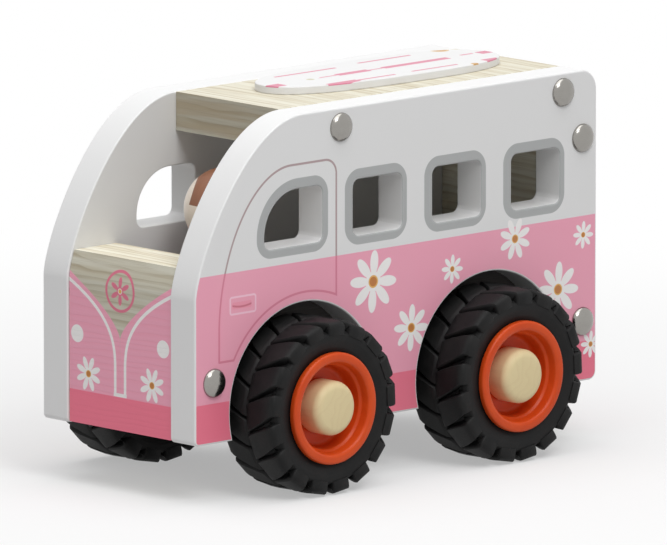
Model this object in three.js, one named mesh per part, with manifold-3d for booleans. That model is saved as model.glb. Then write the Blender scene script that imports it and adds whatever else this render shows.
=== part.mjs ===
// Wooden toy van: two sawn side panels nailed to pine blocks, rubber wheels on turned pegs.
// Millimetres, +X forward, +Y to the van's left, +Z up, origin on the ground under the middle.
import * as THREE from 'three';
import { mergeVertices } from 'three/addons/utils/BufferGeometryUtils.js';
import Module from 'manifold-3d';

const wasm = await Module();
wasm.setup();

// Body, with setbacks measured from the front edge of the side panels
const frontOverhang = 44.5;
const wheelbase = 79.6;
const rearOverhang = 45.9;
const panelHeight = 97.5;
const panelThickness = 11;
const cabinWidth = 46;
const noseHeight = 53;
const noseLength = 45.3;
const noseRise = 10.1;
const noseRun = 25.2;
const toeRadius = 1;
const tailTopRadius = 6.5;
const tailBottomRadius = 2.8;

// Clear openings of the windows, hung from the panel's top edge
const windowDrop = 23;
const windowHeight = 17.45;
const windowWidth = 20.8;
const windowRadius = 2.5;
const windowCount = 3;
const firstWindowSetback = 66.3;
const lastWindowMargin = 15.7;
const cabWindowSetback = 29.2;
const cabWindowWidth = 24.3;
const cabWindowFrontRadius = 13.8;

// Blocks between the panels
const blockRecess = 0.6;
const blockLift = 0.5;
const frontBlockDepth = 19.4;
const frontBlockHeight = 53;
const roofThickness = 12;
const rearPanelThickness = 11;
const chassisHeight = 40.8;

// Surfboard on the roof
const boardLength = 95.3;
const boardWidth = 32;
const boardThickness = 2.5;
const boardInset = 17;
const boardWidest = 57.1;
const boardNoseFlare = 15;
const boardNoseLead = 0.4;
const boardNoseRun = 28;
const boardTailRun = 16;
const boardTailFlare = 14.2;

// Driver
const driverSetback = 44.8;
const headDiameter = 25.8;
const headRoom = 8.7;
const neckRadius = 6;
const shoulderRadius = 10;
const driverBaseRadius = 12;
const shoulderRound = 4;

// Dome nails
const domeRadius = 4.5;
const domeHeight = 2.2;
const nailRadius = 1.5;
const nailBite = 14;
const nailFit = 0.15;
const frontRoofNailInset = 15.7;
const rearRoofNailInset = 14.6;
const upperNailDrop = 21.2;
const lowerNailHeight = 18.8;

// Wheels
const axleRise = 8.3;
const archGap = 4;
const frontArchSetback = 1.2;
const tyreRadius = 27;
const tyreWidth = 23;
const tyreSideGap = 2.8;
const lugCount = 17;
const lugDepth = 2.7;
const lugShare = 0.76;
const lugSweep = 5.4;
const lugDraft = 0.4;
const crownWidth = 19;
const crownDrop = 0.1;
const shoulderDrop = 0.8;
const shoulderGrooveDrop = 0.7;
const centreGroove = 1.6;
const tyreFit = 0.3;
const beadGap = 0.5;
const rimSeatRadius = 16;
const flangeHeight = 1.3;
const flangeThickness = 2.3;
const flangeChamfer = 0.6;
const rimStandout = 0.5;
const lipWidth = 1.8;
const dishStep = 1.7;
const dishDepth = 8.4;
const stepDepth = 3.5;
const stepRun = 1;
const webThickness = 3;
const hubRadius = 8;
const barrelWall = 2.5;
const runningGap = 0.3;
const pegHeadRadius = 8.4;
const pegHeadRound = 2.5;
const pegStandout = 1.2;
const pegRadius = 4.75;
const pegBite = 17;
const pegFit = 0.15;

// Facets of round forms
const noseSteps = 14;
const archSides = 56;
const cornerSteps = 5;
const nailSides = 12;
const pegSides = 20;
const rimSides = 24;
const driverSides = 20;
const headRings = 9;
const boardSteps = 9;
const frontSteps = 8;

// Reach of a cutter past the face that it opens, and clearance at the end of a blind bore
const overshoot = 1;
const boreEnd = 0.3;

// Levels and stations worked out from the sizes above
const panelLength = frontOverhang + wheelbase + rearOverhang;
const noseX = panelLength / 2;
const panelBottom = tyreRadius - axleRise;
const panelTop = panelBottom + panelHeight;
const cabinHalf = cabinWidth / 2;
const bodyHalf = cabinHalf + panelThickness;
const roofBottom = panelTop - roofThickness;
const blockBottom = panelBottom + blockLift;
const chassisTop = blockBottom + chassisHeight;
const frontBlockTop = blockBottom + frontBlockHeight;
const frontBlockRearX = noseX - blockRecess - frontBlockDepth;
const tailX = -noseX + blockRecess;
const rearPanelFrontX = tailX + rearPanelThickness;
const archRadius = tyreRadius + archGap;
const archHalfWidth = Math.sqrt(archRadius ** 2 - axleRise ** 2);
const axles = { front: noseX - frontOverhang, rear: noseX - frontOverhang - wheelbase };
const archCentres = [axles.front - frontArchSetback, axles.rear];
const sides = { left: 1, right: -1 };

// Materials
function finish(color, roughness, metalness = 0) {
  return new THREE.MeshStandardMaterial({ color, roughness, metalness });
}

const whitePaint = finish(0xefecea, 0.5);
const pinkPaint = finish(0xd793a8, 0.5);
const pine = finish(0xdcc9a0, 0.65);
const blackStain = finish(0x2c2a28, 0.8);
const pegWood = finish(0xe1cd9b, 0.55);
const skinWood = finish(0xd9a878, 0.5);
const chrome = finish(0xd0d0d0, 0.2, 1);
const rubber = finish(0x232323, 0.75);
const orangePlastic = finish(0xd24619, 0.4);

const van = new THREE.Group();

function addPiece(name, geometry, material) {
  const mesh = new THREE.Mesh(geometry, material);
  mesh.name = name;
  van.add(mesh);
  return mesh;
}

// Closed geometry as a solid that can be cut
function solidOf(geometry) {
  const bare = geometry.clone();
  bare.deleteAttribute('normal');
  bare.deleteAttribute('uv');
  const merged = mergeVertices(bare);
  return new wasm.Manifold(new wasm.Mesh({
    numProp: 3,
    vertProperties: new Float32Array(merged.attributes.position.array),
    triVerts: new Uint32Array(merged.index.array),
  }));
}

// Geometry with every cutter taken out of it
function cut(geometry, cutters) {
  let body = solidOf(geometry);
  for (const cutter of cutters) {
    body = body.subtract(solidOf(cutter));
  }
  const mesh = body.getMesh();
  const result = new THREE.BufferGeometry();
  result.setAttribute('position', new THREE.BufferAttribute(new Float32Array(mesh.vertProperties), 3));
  result.setIndex(new THREE.BufferAttribute(new Uint32Array(mesh.triVerts), 1));
  result.computeVertexNormals();
  return result;
}

// Points of an arc in the XZ plane, both ends included
function arc(x, z, radius, fromDegrees, toDegrees, steps) {
  const points = [];
  for (let step = 0; step <= steps; step += 1) {
    const angle = THREE.MathUtils.degToRad(fromDegrees + (toDegrees - fromDegrees) * step / steps);
    points.push(new THREE.Vector2(x + radius * Math.cos(angle), z + radius * Math.sin(angle)));
  }
  return points;
}

// Outline in the XZ plane made into a slab between two Y values
const upright = new THREE.Matrix4().makeBasis(
  new THREE.Vector3(1, 0, 0),
  new THREE.Vector3(0, 0, 1),
  new THREE.Vector3(0, -1, 0),
);
function slab(outline, lowY, highY) {
  const options = { depth: highY - lowY, bevelEnabled: false };
  const geometry = new THREE.ExtrudeGeometry(new THREE.Shape(outline), options);
  return geometry.applyMatrix4(upright).translate(0, highY, 0);
}

function rectangle(lowX, highX, lowZ, highZ) {
  return [
    new THREE.Vector2(lowX, lowZ),
    new THREE.Vector2(highX, lowZ),
    new THREE.Vector2(highX, highZ),
    new THREE.Vector2(lowX, highZ),
  ];
}

// Round cutter along Y
function drill(place, fromY, toY, radius, facets) {
  const geometry = new THREE.CylinderGeometry(radius, radius, Math.abs(toY - fromY), facets);
  return geometry.translate(place.x, (fromY + toY) / 2, place.y);
}

// Nose curve, from the vertical front edge up to the flat top
const noseCurve = new THREE.CubicBezierCurve(
  new THREE.Vector2(noseX, panelTop - noseHeight),
  new THREE.Vector2(noseX, panelTop - noseHeight + noseRise),
  new THREE.Vector2(noseX - noseLength + noseRun, panelTop),
  new THREE.Vector2(noseX - noseLength, panelTop),
);

// X of the panels' front edge at a height
function noseAt(z) {
  let low = 0;
  let high = 1;
  for (let halving = 0; halving < 40; halving += 1) {
    const middle = (low + high) / 2;
    if (noseCurve.getPoint(middle).y < z) {
      low = middle;
    } else {
      high = middle;
    }
  }
  return noseCurve.getPoint(low).x;
}

// Places of the nails in the side view
const rearNailX = (tailX + rearPanelFrontX) / 2;
const roofNailZ = (roofBottom + panelTop) / 2;
const nailPlaces = {
  roof_front: new THREE.Vector2(noseX - noseLength - frontRoofNailInset, roofNailZ),
  roof_rear: new THREE.Vector2(-noseX + rearRoofNailInset, roofNailZ),
  rear_upper: new THREE.Vector2(rearNailX, panelTop - upperNailDrop),
  rear_lower: new THREE.Vector2(rearNailX, panelBottom + lowerNailHeight),
  front: new THREE.Vector2(noseX - (frontOverhang + frontArchSetback - archHalfWidth) / 2, panelBottom + lowerNailHeight),
};

// Bores for the named nails, from both sides of the body
function nailBores(...names) {
  const bores = [];
  for (const name of names) {
    for (const side of Object.values(sides)) {
      const mouth = side * (bodyHalf + overshoot);
      const end = side * (cabinHalf - nailBite - boreEnd);
      bores.push(drill(nailPlaces[name], mouth, end, nailRadius + nailFit, nailSides));
    }
  }
  return bores;
}

// Side panels
function windowOutline(setback, width, frontTopRadius) {
  const front = noseX - setback;
  const rear = front - width;
  const top = panelTop - windowDrop;
  const bottom = top - windowHeight;
  const round = windowRadius;
  return [
    ...arc(front - round, bottom + round, round, -90, 0, cornerSteps),
    ...arc(front - frontTopRadius, top - frontTopRadius, frontTopRadius, 0, 90, cornerSteps),
    ...arc(rear + round, top - round, round, 90, 180, cornerSteps),
    ...arc(rear + round, bottom + round, round, 180, 270, cornerSteps),
  ];
}

const windowSpan = panelLength - lastWindowMargin - windowWidth - firstWindowSetback;
const windows = [windowOutline(cabWindowSetback, cabWindowWidth, cabWindowFrontRadius)];
for (let count = 0; count < windowCount; count += 1) {
  const setback = firstWindowSetback + windowSpan * count / (windowCount - 1);
  windows.push(windowOutline(setback, windowWidth, windowRadius));
}

const panelOutline = [
  ...arc(noseX - toeRadius, panelBottom + toeRadius, toeRadius, -90, 0, 2),
  ...noseCurve.getPoints(noseSteps),
  ...arc(-noseX + tailTopRadius, panelTop - tailTopRadius, tailTopRadius, 90, 180, cornerSteps),
  ...arc(-noseX + tailBottomRadius, panelBottom + tailBottomRadius, tailBottomRadius, 180, 270, cornerSteps),
];

for (const [sideName, side] of Object.entries(sides)) {
  const faces = [side * cabinHalf, side * bodyHalf].sort((a, b) => a - b);
  const cutFaces = [faces[0] - overshoot, faces[1] + overshoot];
  const cutters = windows.map((outline) => slab(outline, ...cutFaces));
  for (const archX of archCentres) {
    cutters.push(drill(new THREE.Vector2(archX, tyreRadius), ...cutFaces, archRadius, archSides));
  }
  for (const place of Object.values(nailPlaces)) {
    cutters.push(drill(place, ...cutFaces, nailRadius + nailFit, nailSides));
  }
  addPiece(`${sideName}_side_panel`, cut(slab(panelOutline, ...faces), cutters), whitePaint);
}

// Front block, whose face follows the panels' front edge a little behind it
const frontOutline = [];
for (let step = 0; step <= frontSteps; step += 1) {
  const z = blockBottom + frontBlockHeight * step / frontSteps;
  frontOutline.push(new THREE.Vector2(noseAt(z) - blockRecess, z));
}
frontOutline.push(new THREE.Vector2(frontBlockRearX, frontBlockTop));
frontOutline.push(new THREE.Vector2(frontBlockRearX, blockBottom));
addPiece('front_block', cut(slab(frontOutline, -cabinHalf, cabinHalf), nailBores('front')), pine);

// Roof block, rounded at the tail like the panels
const roofOutline = [
  new THREE.Vector2(tailX, roofBottom),
  new THREE.Vector2(noseX - noseLength, roofBottom),
  new THREE.Vector2(noseX - noseLength, panelTop),
  ...arc(tailX + tailTopRadius, panelTop - tailTopRadius, tailTopRadius, 90, 180, cornerSteps),
];
const roofBores = nailBores('roof_front', 'roof_rear');
addPiece('roof_block', cut(slab(roofOutline, -cabinHalf, cabinHalf), roofBores), pine);

// Rear panel, under the roof
const rearOutline = rectangle(tailX, rearPanelFrontX, blockBottom, roofBottom);
const rearBores = nailBores('rear_upper', 'rear_lower');
addPiece('rear_panel', cut(slab(rearOutline, -cabinHalf, cabinHalf), rearBores), pine);

// Chassis block, bored for the axle pegs
const pegBores = [];
for (const axleX of Object.values(axles)) {
  for (const side of Object.values(sides)) {
    const mouth = side * (cabinHalf + overshoot);
    const end = side * (cabinHalf - pegBite - boreEnd);
    pegBores.push(drill(new THREE.Vector2(axleX, tyreRadius), mouth, end, pegRadius + pegFit, pegSides));
  }
}
const chassisOutline = rectangle(rearPanelFrontX, frontBlockRearX, blockBottom, chassisTop);
addPiece('chassis_block', cut(slab(chassisOutline, -cabinHalf, cabinHalf), pegBores), blackStain);

// Surfboard, a leaf outline lying on the roof
const boardNoseX = noseX - noseLength - boardInset;
const boardHalf = boardWidth / 2;
const noseSide = new THREE.CubicBezierCurve(
  new THREE.Vector2(boardNoseX, 0),
  new THREE.Vector2(boardNoseX - boardNoseLead, boardNoseFlare),
  new THREE.Vector2(boardNoseX - boardWidest + boardNoseRun, boardHalf),
  new THREE.Vector2(boardNoseX - boardWidest, boardHalf),
);
const tailSide = new THREE.CubicBezierCurve(
  new THREE.Vector2(boardNoseX - boardWidest, boardHalf),
  new THREE.Vector2(boardNoseX - boardWidest - boardTailRun, boardHalf),
  new THREE.Vector2(boardNoseX - boardLength, boardTailFlare),
  new THREE.Vector2(boardNoseX - boardLength, 0),
);
const boardSide = [...noseSide.getPoints(boardSteps), ...tailSide.getPoints(boardSteps).slice(1)];
const boardOtherSide = boardSide.slice(1, -1).reverse().map((point) => new THREE.Vector2(point.x, -point.y));
const boardShape = new THREE.Shape([...boardSide, ...boardOtherSide]);
const boardGeometry = new THREE.ExtrudeGeometry(boardShape, { depth: boardThickness, bevelEnabled: false });
addPiece('surfboard', boardGeometry, whitePaint).position.z = panelTop;

// Driver: a turned body glued to the chassis, and a ball head with a flat under its chin
const headRadius = headDiameter / 2;
const chinDrop = Math.sqrt(headRadius ** 2 - neckRadius ** 2);
const headZ = roofBottom - headRoom - headRadius;
const driverHeight = headZ - chinDrop - chassisTop;
const shoulderFall = Math.min(shoulderRound, driverHeight / 2);
const lathePoints = (pairs) => pairs.map(([radius, along]) => new THREE.Vector2(radius, along));

function turnedUp(profile) {
  return new THREE.LatheGeometry(profile, driverSides).rotateX(Math.PI / 2);
}

const driverProfile = lathePoints([
  [0, 0],
  [driverBaseRadius, 0],
  [shoulderRadius, driverHeight - shoulderFall],
  [neckRadius, driverHeight],
  [0, driverHeight],
]);
const driverX = noseX - driverSetback;
addPiece('driver_body', turnedUp(driverProfile), pinkPaint).position.set(driverX, 0, chassisTop);

const chinAngle = THREE.MathUtils.radToDeg(Math.asin(chinDrop / headRadius));
const headProfile = [new THREE.Vector2(0, -chinDrop), ...arc(0, 0, headRadius, -chinAngle, 90, headRings)];
headProfile[headProfile.length - 1].x = 0;
addPiece('driver_head', turnedUp(headProfile), skinWood).position.set(driverX, 0, headZ);

// Dome nails, turned about Y with the dome standing on the panel
const nailProfile = lathePoints([[0, -panelThickness - nailBite], [nailRadius, -panelThickness - nailBite]]);
nailProfile.push(new THREE.Vector2(nailRadius, 0));
for (const point of arc(0, 0, 1, 0, 90, 3)) {
  nailProfile.push(new THREE.Vector2(domeRadius * point.x, domeHeight * point.y));
}
nailProfile[nailProfile.length - 1].x = 0;
const nailGeometry = new THREE.LatheGeometry(nailProfile, nailSides);
for (const [sideName, side] of Object.entries(sides)) {
  for (const [placeName, place] of Object.entries(nailPlaces)) {
    const nail = addPiece(`dome_nail_${sideName}_${placeName}`, nailGeometry, chrome);
    nail.position.set(place.x, side * bodyHalf, place.y);
    nail.rotation.z = side > 0 ? 0 : Math.PI;
  }
}

// Wheel pieces, turned about Y with their middle plane at 0 and the outer side at +Y
const tyreHalf = tyreWidth / 2;
const wheelOffset = cabinHalf + tyreSideGap + tyreHalf;
const chassisSide = -tyreHalf - tyreSideGap;
const rimFace = tyreHalf + rimStandout;
const flangeBack = rimFace - flangeThickness;
const bead = flangeBack - beadGap;
const dishFloor = rimFace - dishDepth;

// Tyre: rings of points from the outer bead over the tread to the inner bead.
// The lugs of the two halves are half a pitch apart, and they lead at the middle when rolling forward.
const grooveRadius = tyreRadius - lugDepth;
const lugPitch = 2 * Math.PI / lugCount;
const lugHalf = lugShare * lugPitch / 2;
const sweepAngle = lugSweep / tyreRadius;
const draftAngle = lugDraft / tyreRadius;
const outerShift = 0.5;
const plainShift = outerShift / 2;
const boreRadius = rimSeatRadius + tyreFit;
const crownHalf = crownWidth / 2;

// One ring: four points a pitch, two on the lug and two in the groove after it
function treadRing(along, lugTop, grooveBottom, sweep, shift) {
  const points = [];
  for (let lug = 0; lug < lugCount; lug += 1) {
    const centre = Math.PI + lugHalf - sweepAngle + sweep + (lug + shift) * lugPitch;
    const corners = [
      [centre - lugHalf - draftAngle, grooveBottom],
      [centre - lugHalf, lugTop],
      [centre + lugHalf, lugTop],
      [centre + lugHalf + draftAngle, grooveBottom],
    ];
    for (const [angle, radius] of corners) {
      points.push(new THREE.Vector3(radius * Math.sin(angle), along, radius * Math.cos(angle)));
    }
  }
  return points;
}

// Rings of one half, from its bead to the lugs' inner ends
function treadHalf(side, shift) {
  const shoulderTop = tyreRadius - shoulderDrop;
  const shoulderFloor = grooveRadius - shoulderGrooveDrop;
  const crownTop = tyreRadius - crownDrop;
  const crownSweep = sweepAngle * (1 - crownHalf / tyreHalf);
  const lugEnd = centreGroove / 2;
  return [
    treadRing(side * bead, boreRadius, boreRadius, 0, plainShift),
    treadRing(side * tyreHalf, shoulderTop, shoulderFloor, 0, shift),
    treadRing(side * crownHalf, crownTop, grooveRadius, crownSweep, shift),
    treadRing(side * lugEnd, tyreRadius, grooveRadius, sweepAngle, shift),
  ];
}

function tyreGeometry() {
  const outerHalf = treadHalf(1, outerShift);
  const middle = treadRing(0, grooveRadius, grooveRadius, sweepAngle, plainShift);
  const innerHalf = treadHalf(-1, 0).reverse();
  const rings = [...outerHalf, middle, ...innerHalf];
  const perRing = rings[0].length;
  const triangles = [];
  for (let ring = 0; ring < rings.length; ring += 1) {
    const here = ring * perRing;
    const next = ((ring + 1) % rings.length) * perRing;
    for (let point = 0; point < perRing; point += 1) {
      const after = (point + 1) % perRing;
      triangles.push(here + point, next + point, here + after);
      triangles.push(here + after, next + point, next + after);
    }
  }
  const geometry = new THREE.BufferGeometry().setFromPoints(rings.flat());
  geometry.setIndex(triangles);
  geometry.computeVertexNormals();
  return geometry;
}

const hubEnd = chassisSide + runningGap;
const rimBore = pegRadius + runningGap;
const flangeRadius = rimSeatRadius + flangeHeight;
const mouthRadius = rimSeatRadius - lipWidth;
const dishRadius = mouthRadius - dishStep;
const barrelInside = rimSeatRadius - barrelWall;
const webBack = dishFloor - webThickness;
const rimProfile = lathePoints([
  [rimBore, hubEnd],
  [hubRadius, hubEnd],
  [hubRadius, webBack],
  [barrelInside, webBack],
  [barrelInside, -bead],
  [rimSeatRadius, -bead],
  [rimSeatRadius, flangeBack],
  [flangeRadius, flangeBack],
  [flangeRadius, rimFace - flangeChamfer],
  [flangeRadius - flangeChamfer, rimFace],
  [mouthRadius, rimFace],
  [(mouthRadius + dishRadius) / 2, rimFace - stepDepth],
  [dishRadius, rimFace - stepDepth - stepRun],
  [dishRadius, dishFloor],
  [rimBore, dishFloor],
  [rimBore, hubEnd],
]);

const pegEnd = tyreHalf + pegStandout;
const pegTail = chassisSide - pegBite;
const pegProfile = [
  ...lathePoints([[0, pegTail], [pegRadius, pegTail]]),
  ...lathePoints([[pegRadius, dishFloor + runningGap], [pegHeadRadius, dishFloor + runningGap]]),
  ...arc(pegHeadRadius - pegHeadRound, pegEnd - pegHeadRound, pegHeadRound, 0, 90, 3),
  new THREE.Vector2(0, pegEnd),
];

const tyre = tyreGeometry();
const rim = new THREE.LatheGeometry(rimProfile, rimSides);
const peg = new THREE.LatheGeometry(pegProfile, pegSides);
for (const [axleName, axleX] of Object.entries(axles)) {
  for (const [sideName, side] of Object.entries(sides)) {
    const wheelName = `${axleName}_${sideName}`;
    const tyrePiece = addPiece(`tyre_${wheelName}`, tyre, rubber);
    const rimPiece = addPiece(`rim_${wheelName}`, rim, orangePlastic);
    const pegPiece = addPiece(`axle_peg_${wheelName}`, peg, pegWood);
    for (const wheelPiece of [tyrePiece, rimPiece, pegPiece]) {
      wheelPiece.position.set(axleX, side * wheelOffset, tyreRadius);
    }
    for (const turnedPiece of [rimPiece, pegPiece]) {
      turnedPiece.rotation.z = side > 0 ? 0 : Math.PI;
    }
  }
}

export default van;
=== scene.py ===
from functools import reduce
from math import atan2, cos, degrees, pi, radians, sin, sqrt, tan
import bmesh
import bpy
from mathutils import Matrix, Vector


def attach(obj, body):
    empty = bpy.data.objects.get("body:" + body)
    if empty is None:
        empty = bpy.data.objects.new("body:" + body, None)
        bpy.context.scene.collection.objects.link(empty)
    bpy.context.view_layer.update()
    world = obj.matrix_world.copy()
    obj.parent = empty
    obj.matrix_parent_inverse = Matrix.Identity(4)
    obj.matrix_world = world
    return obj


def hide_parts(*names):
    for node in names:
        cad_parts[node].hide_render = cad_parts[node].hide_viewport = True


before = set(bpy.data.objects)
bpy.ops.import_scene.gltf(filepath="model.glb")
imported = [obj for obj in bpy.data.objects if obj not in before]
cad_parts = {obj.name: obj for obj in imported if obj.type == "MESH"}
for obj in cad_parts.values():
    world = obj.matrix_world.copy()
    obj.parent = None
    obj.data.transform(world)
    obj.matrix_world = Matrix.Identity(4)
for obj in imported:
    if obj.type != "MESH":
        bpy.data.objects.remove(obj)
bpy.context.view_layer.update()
mm = 0.001
vanNose, vanFoot = 85.0, 18.7  # front end and lower edge of the side panels, mm
print("frame loaded:", len(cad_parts), "nodes")


# nodes and shader sums

def pick(sockets, key):
    if isinstance(key, int):
        return sockets[key]
    return next(s for s in sockets if key in (s.identifier, s.name))


class Value:  # an output socket that takes part in sums
    def __init__(self, maker, socket):
        self.maker = maker
        self.socket = socket

    def math(self, operation, *others):
        terms = dict(enumerate((self, *others)))
        return self.maker.node("ShaderNodeMath", {"operation": operation}, terms)

    def twin(self, key):  # another output of the same node
        return Value(self.maker, pick(self.socket.node.outputs, key))

    def __add__(self, other):
        return self.math("ADD", other)

    __radd__ = __add__

    def __sub__(self, other):
        return self.math("SUBTRACT", other)

    def __rsub__(self, other):
        return self.maker.node("ShaderNodeMath", {"operation": "SUBTRACT"}, {0: other, 1: self})

    def __mul__(self, other):
        return self.math("MULTIPLY", other)

    __rmul__ = __mul__

    def __truediv__(self, other):
        return self.math("DIVIDE", other)

    def __pow__(self, other):
        return self.math("POWER", other)

    def __abs__(self):
        return self.math("ABSOLUTE")

    def least(self, other):
        return self.math("MINIMUM", other)

    def most(self, other):
        return self.math("MAXIMUM", other)


class Grower:  # adds nodes to one tree
    def __init__(self, tree):
        self.tree = tree

    def node(self, kind, settings={}, sockets={}, out=0):
        made = self.tree.nodes.new(kind)
        for key, value in settings.items():
            setattr(made, key, value)
        for key, value in sockets.items():
            if isinstance(value, Value):
                self.tree.links.new(value.socket, pick(made.inputs, key))
            else:
                pick(made.inputs, key).default_value = value
        return Value(self, pick(made.outputs, out)) if made.outputs else made

    def seenDirectly(self):  # 1 for rays of the camera, and for those of gloss and glass
        path = self.node("ShaderNodeLightPath", out="Is Camera Ray")
        return path.most(path.twin("Is Glossy Ray")).most(path.twin("Is Transmission Ray"))

    def realised(self, instances, material):  # ends a geometry tree
        solid = self.node("GeometryNodeRealizeInstances", {}, {"Geometry": instances})
        shown = self.node("GeometryNodeSetMaterial", {}, {"Geometry": solid, "Material": material})
        self.node("NodeGroupOutput", {}, {"Geometry": shown})
        return self.tree


daisyShape = {  # lengths are shares of the flower's reach
    "petals": 8, "width": 0.155, "flare": 0.03, "middle": 0.60, "half": 0.40,
    "heart": 0.33, "eye": 0.205, "pupil": 0.76, "edge": 0.2,
}


class Finish(Grower):
    def __init__(self, name):
        self.material = bpy.data.materials.new(name)
        self.material.use_nodes = True
        super().__init__(self.material.node_tree)
        self.tree.nodes.clear()
        objectPlace = self.node("ShaderNodeTexCoord", out="Object")
        self.place = self.node("ShaderNodeVectorMath", {"operation": "SCALE"}, {0: objectPlace, "Scale": 1 / mm})
        self.x = self.node("ShaderNodeSeparateXYZ", {}, {0: self.place})
        self.y = self.x.twin("Y")
        self.z = self.x.twin("Z")

    def noise(self, place, scale, detail):
        return self.node("ShaderNodeTexNoise", {}, {"Vector": place, "Scale": scale, "Detail": detail})

    def grain(self, stretch, scale, detail):  # noise drawn out along the axes
        parts = (self.x * stretch[0], self.y * stretch[1], self.z * stretch[2])
        place = self.node("ShaderNodeCombineXYZ", {}, dict(enumerate(parts)))
        return self.noise(place, scale, detail)

    def lateWood(self, growth, start, end):  # darkens over each year's ring, then drops
        ring = growth.math("FLOORED_MODULO", 1.0)
        return self.spread(ring, start, end) * (1.0 - self.spread(ring, end, 1.0))

    def inside(self, distance, soft=0.07):  # 1 where the distance is below 0
        step = {"operation": "MULTIPLY_ADD", "use_clamp": True}
        return self.node("ShaderNodeMath", step, {0: distance, 1: -0.5 / soft, 2: 0.5})

    def spread(self, value, low, high):  # 0 to 1 between two levels
        step = {"interpolation_type": "SMOOTHSTEP"}
        return self.node("ShaderNodeMapRange", step, {"Value": value, "From Min": low, "From Max": high})

    def mix(self, mask, under, over):
        sockets = {"Factor_Float": mask, "A_Color": under, "B_Color": over}
        return self.node("ShaderNodeMix", {"data_type": "RGBA"}, sockets, out="Result_Color")

    def bump(self, height, distance, strength):
        return self.node("ShaderNodeBump", {}, {"Height": height, "Distance": distance, "Strength": strength})

    def surface(self, sockets):
        shader = self.node("ShaderNodeBsdfPrincipled", {}, sockets)
        self.node("ShaderNodeOutputMaterial", {}, {"Surface": shader})
        return self.material

    # outlines of printed shapes: distance to the edge in mm, below 0 inside

    def box(self, x, y, low, high, corner=0.0):
        fromX = abs(x - (low[0] + high[0]) / 2) - ((high[0] - low[0]) / 2 - corner)
        fromY = abs(y - (low[1] + high[1]) / 2) - ((high[1] - low[1]) / 2 - corner)
        return self.cornered(fromX, fromY, corner)

    def cornered(self, fromX, fromY, corner):
        outer = (fromX.most(0) ** 2 + fromY.most(0) ** 2) ** 0.5
        return outer + fromX.most(fromY).least(0) - corner

    def disc(self, x, y, centre, radius):
        return ((x - centre[0]) ** 2 + (y - centre[1]) ** 2) ** 0.5 - radius

    def flower(self, colour, x, y, daisy, petalColour, eyeColours):
        shape = {**daisyShape, **daisy}
        reach, pitch = shape["reach"], 2 * pi / shape["petals"]
        fromX = (x - shape["at"][0]) / reach
        fromY = (y - shape["at"][1]) / reach
        away = (fromX * fromX + fromY * fromY) ** 0.5
        part = (fromX.math("ARCTAN2", fromY) - radians(shape["turn"])) * (1 / pitch) + 0.5
        angle = (part.math("FLOORED_MODULO", 1.0) - 0.5) * pitch
        along = away * angle.math("COSINE")
        aside = away * angle.math("SINE")
        width = along * shape["flare"] + shape["width"]
        petal = ((aside / width) ** 2 + ((along - shape["middle"]) / shape["half"]) ** 2) ** 0.5 - 1.0
        heart = self.inside((away - shape["heart"]) * reach)
        colour = self.mix(self.inside(petal * (shape["edge"] * reach)).most(heart), colour, petalColour)
        for radius, tone in zip((shape["eye"], shape["pupil"] * shape["eye"]), eyeColours):
            colour = self.mix(self.inside((away - radius) * reach), colour, tone)
        return colour


# colours as linear values

paints = {
    "white": (0.80, 0.80, 0.80, 1),
    # the edges' and sills' white, lighter than the side's white: painted light
    "litEdgeWhite": (0.84, 0.84, 0.84, 1),
    # the reveals' and inner faces' white, darker than the side's white: painted shade
    "shadedInnerWhite": (0.765, 0.765, 0.76, 1),
    "worn": (0.70, 0.69, 0.66, 1),
    "pink": (0.90, 0.39, 0.51, 1),
    "deepPink": (0.88, 0.195, 0.287, 1),
    "frontPink": (0.92, 0.41, 0.535, 1),
    "frontDeep": (0.93, 0.21, 0.305, 1),
    "line": (0.41, 0.285, 0.29, 1),
    "pinkLine": (0.72, 0.205, 0.30, 1),
    "palePink": (1.0, 0.65, 0.77, 1),
    "gripPink": (0.62, 0.15, 0.21, 1),
    "badge": (0.76, 0.20, 0.29, 1),
    "grey": (0.43, 0.44, 0.44, 1),
    "petal": (0.95, 0.925, 0.915, 1),
    "eyes": [(0.82, 0.47, 0.13, 1), (0.56, 0.21, 0.05, 1)],
}


def paintSkin(finish, colour, roughness):  # satin paint over sanded board
    broad = finish.noise(finish.place, 0.05, 3.0)
    fine = finish.noise(finish.place, 1.6, 3.0)
    fibre = finish.grain((0.05, 0.8, 0.9), 1.4, 4.0)
    return finish.surface({
        "Base Color": finish.mix((broad - 0.5).most(0) * 0.16, colour, paints["worn"]),
        "Roughness": roughness + (fine - 0.5) * 0.14 + (broad - 0.5) * 0.1,
        "Specular IOR Level": 0.42,
        "Normal": finish.bump(fibre * 0.7 + fine * 0.3, 0.00003, 0.5),
    })


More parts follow.
